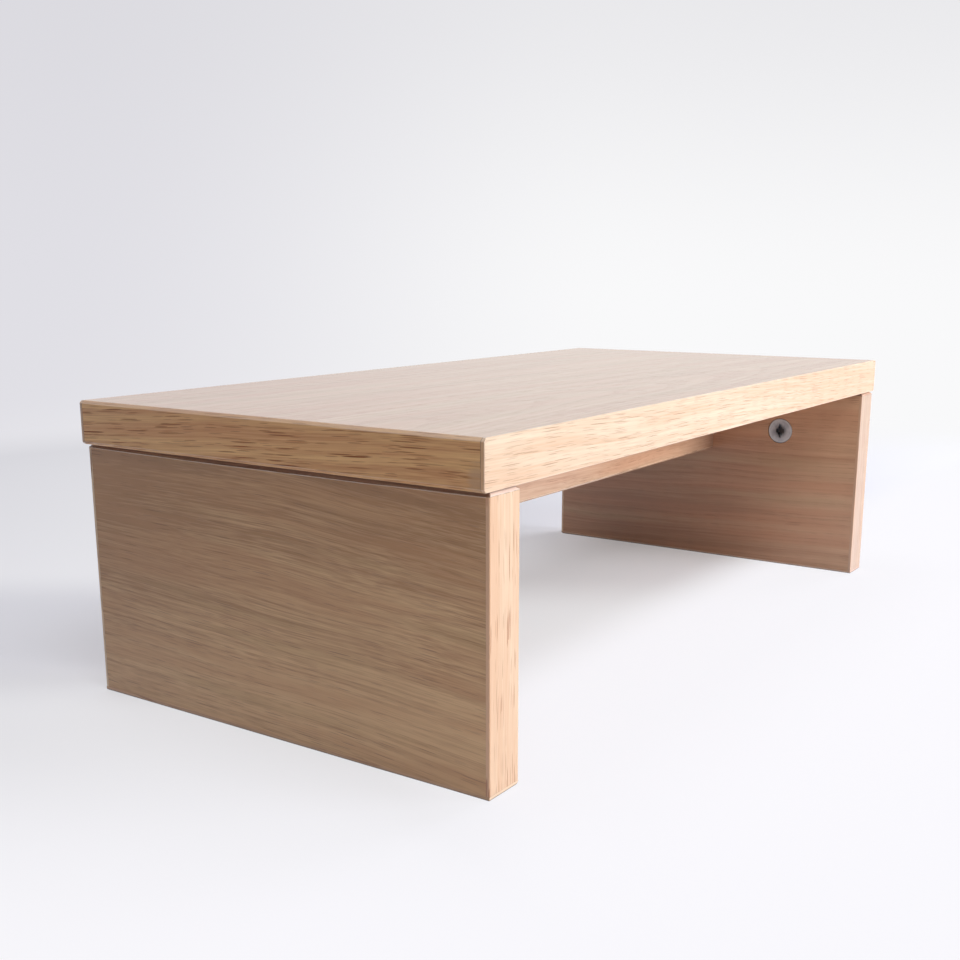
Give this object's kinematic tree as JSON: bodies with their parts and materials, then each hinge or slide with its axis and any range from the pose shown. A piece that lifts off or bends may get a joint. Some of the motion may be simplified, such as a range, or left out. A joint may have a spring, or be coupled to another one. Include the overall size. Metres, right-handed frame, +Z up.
{
  "type": "monitor riser",
  "caption": "Low open riser: rectangular oak-veneered top on panel legs with a stretcher rail, joined by turning cam locks.",
  "frame": {"origin": "on the floor, below the middle of the top", "axes": "+X along the length to the right as seen from the front, +Y to the rear, +Z up"},
  "size_m": [0.406, 0.2, 0.125],
  "materials": {
    "oak_veneer": "oak veneer, clear matt lacquer",
    "oak_edging": "solid oak strip, clear matt lacquer",
    "board_core": "particle board, unfinished, hidden",
    "beech_dowel": "fluted beech, unfinished, hidden",
    "cam_zinc": "die-cast zinc, dull grey",
    "bolt_steel": "zinc-plated steel, hidden"
  },
  "bodies": {
    "riser": {"front_left_bolt": "bolt_steel", "front_left_dowel": "beech_dowel", "front_right_bolt": "bolt_steel", "front_right_dowel": "beech_dowel", "left_leg_bottom_edging": "oak_edging", "left_leg_core": "board_core", "left_leg_front_edging": "oak_edging", "left_leg_inner_veneer": "oak_veneer", "left_leg_outer_veneer": "oak_veneer", "left_leg_rear_edging": "oak_edging", "left_leg_top_edging": "oak_edging", "left_rail_bolt": "bolt_steel", "left_rail_dowel": "beech_dowel", "left_top_dowel": "beech_dowel", "rail_bottom_edging": "oak_edging", "rail_core": "board_core", "rail_front_veneer": "oak_veneer", "rail_rear_veneer": "oak_veneer", "rear_left_bolt": "bolt_steel", "rear_left_dowel": "beech_dowel", "rear_right_bolt": "bolt_steel", "rear_right_dowel": "beech_dowel", "right_leg_bottom_edging": "oak_edging", "right_leg_core": "board_core", "right_leg_front_edging": "oak_edging", "right_leg_inner_veneer": "oak_veneer", "right_leg_outer_veneer": "oak_veneer", "right_leg_rear_edging": "oak_edging", "right_leg_top_edging": "oak_edging", "right_rail_bolt": "bolt_steel", "right_rail_dowel": "beech_dowel", "right_top_dowel": "beech_dowel", "top_core": "board_core", "top_front_edging": "oak_edging", "top_left_edging": "oak_edging", "top_lower_veneer": "oak_veneer", "top_rear_edging": "oak_edging", "top_right_edging": "oak_edging", "top_upper_veneer": "oak_veneer"},
    "front_left_cam_lock": {"front_left_cam_lock": "cam_zinc"},
    "front_right_cam_lock": {"front_right_cam_lock": "cam_zinc"},
    "left_rail_cam_lock": {"left_rail_cam_lock": "cam_zinc"},
    "rear_left_cam_lock": {"rear_left_cam_lock": "cam_zinc"},
    "rear_right_cam_lock": {"rear_right_cam_lock": "cam_zinc"},
    "right_rail_cam_lock": {"right_rail_cam_lock": "cam_zinc"}
  },
  "joints": [
    {"name": "front_left_cam_lock_turn", "type": "hinge", "parent": "riser", "child": "front_left_cam_lock", "pos_m": [-0.182, -0.052, 0.082], "axis": [1, 0, 0], "range_deg": [0, 200]},
    {"name": "front_right_cam_lock_turn", "type": "hinge", "parent": "riser", "child": "front_right_cam_lock", "pos_m": [0.182, -0.052, 0.082], "axis": [-1, 0, 0], "range_deg": [0, 200]},
    {"name": "left_rail_cam_lock_turn", "type": "hinge", "parent": "riser", "child": "left_rail_cam_lock", "pos_m": [-0.157, 0.009, 0.096], "axis": [0, 1, 0], "range_deg": [0, 200]},
    {"name": "rear_left_cam_lock_turn", "type": "hinge", "parent": "riser", "child": "rear_left_cam_lock", "pos_m": [-0.182, 0.052, 0.082], "axis": [1, 0, 0], "range_deg": [0, 200]},
    {"name": "rear_right_cam_lock_turn", "type": "hinge", "parent": "riser", "child": "rear_right_cam_lock", "pos_m": [0.182, 0.052, 0.082], "axis": [-1, 0, 0], "range_deg": [0, 200]},
    {"name": "right_rail_cam_lock_turn", "type": "hinge", "parent": "riser", "child": "right_rail_cam_lock", "pos_m": [0.157, 0.009, 0.096], "axis": [0, 1, 0], "range_deg": [0, 200]}
  ]
}
